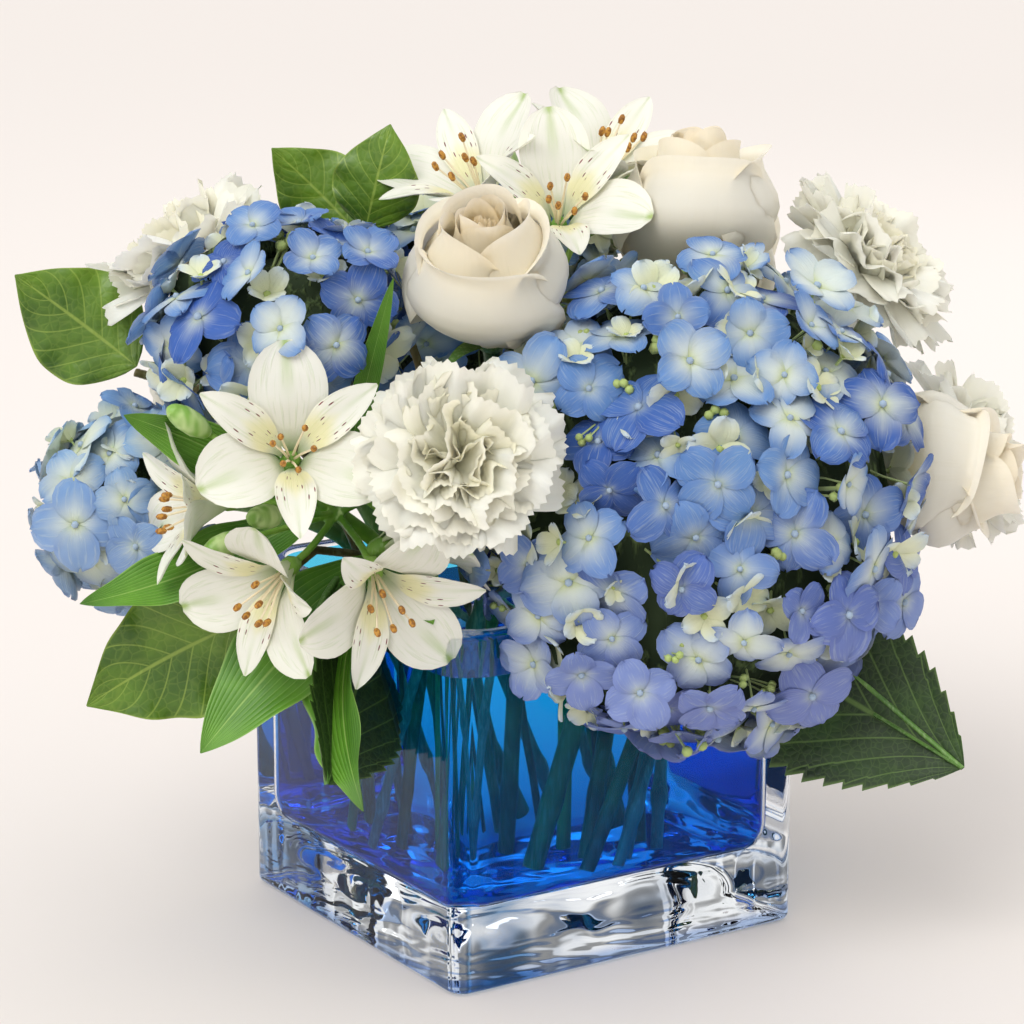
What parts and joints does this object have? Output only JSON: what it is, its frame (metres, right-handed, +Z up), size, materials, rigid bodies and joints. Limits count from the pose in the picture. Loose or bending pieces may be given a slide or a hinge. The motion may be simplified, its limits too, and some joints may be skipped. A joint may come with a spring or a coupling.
{
  "type": "flower arrangement in a square glass vase",
  "caption": "Square glass vase lined in cobalt blue, filled with water and a dense posy of blue hydrangea, cream roses, white carnations, white alstroemeria and green leaves.",
  "frame": {"origin": "centre of the vase's flat underside", "axes": "+Z up; X and Y along the vase's sides; the posy's face looks between -X and -Y, 32.7 degrees from -Y towards -X"},
  "size_m": [0.3068, 0.2609, 0.2667],
  "materials": {
    "vase_glass": "polished",
    "water": "polished",
    "green_stem": "satin",
    "woody_twig": "matte",
    "hydrangea_petals": "matte",
    "rose_petals": "satin",
    "carnation_petals": "matte",
    "alstroemeria_petals": "satin",
    "lemon_leaf": "satin",
    "hydrangea_leaf": "satin",
    "alstroemeria_leaf": "satin"
  },
  "bodies": {
    "root": {"alstroemeria_a": "alstroemeria_petals", "alstroemeria_b": "alstroemeria_petals", "alstroemeria_c": "alstroemeria_petals", "alstroemeria_d": "alstroemeria_petals", "alstroemeria_e": "alstroemeria_petals", "alstroemeria_f": "alstroemeria_petals", "alstroemeria_g": "alstroemeria_petals", "alstroemeria_h": "alstroemeria_petals", "alstroemeria_leaf_a": "alstroemeria_leaf", "alstroemeria_leaf_b": "alstroemeria_leaf", "alstroemeria_leaf_c": "alstroemeria_leaf", "alstroemeria_leaf_d": "alstroemeria_leaf", "alstroemeria_leaf_e": "alstroemeria_leaf", "alstroemeria_leaf_f": "alstroemeria_leaf", "alstroemeria_stem_left": "green_stem", "alstroemeria_stem_top": "green_stem", "carnation_back_left": "carnation_petals", "carnation_back_right": "carnation_petals", "carnation_front": "carnation_petals", "carnation_left": "carnation_petals", "carnation_right_low": "carnation_petals", "carnation_right_top": "carnation_petals", "carnation_stem_back_left": "green_stem", "carnation_stem_back_right": "green_stem", "carnation_stem_front": "green_stem", "carnation_stem_left": "green_stem", "carnation_stem_right_low": "green_stem", "carnation_stem_right_top": "green_stem", "hydrangea_back": "hydrangea_petals", "hydrangea_front": "hydrangea_petals", "hydrangea_leaf_back": "hydrangea_leaf", "hydrangea_leaf_front": "hydrangea_leaf", "hydrangea_leaf_right": "hydrangea_leaf", "hydrangea_left": "hydrangea_petals", "hydrangea_low_left": "hydrangea_petals", "hydrangea_stem_back": "green_stem", "hydrangea_stem_front": "green_stem", "hydrangea_stem_left": "green_stem", "hydrangea_stem_low_left": "green_stem", "lemon_leaf_back_left": "lemon_leaf", "lemon_leaf_back_right": "lemon_leaf", "lemon_leaf_left": "lemon_leaf", "lemon_leaf_low_left": "lemon_leaf", "lemon_leaf_top_left": "lemon_leaf", "lemon_leaf_top_right": "lemon_leaf", "lemon_leaf_twig_back": "woody_twig", "lemon_leaf_twig_left": "woody_twig", "lemon_leaf_twig_low_left": "woody_twig", "lemon_leaf_twig_top": "woody_twig", "rose_back": "rose_petals", "rose_front": "rose_petals", "rose_right": "rose_petals", "rose_stem_back": "green_stem", "rose_stem_front": "green_stem", "rose_stem_right": "green_stem", "rose_stem_top": "green_stem", "rose_top": "rose_petals", "vase": "vase_glass", "water": "water"}
  },
  "joints": []
}
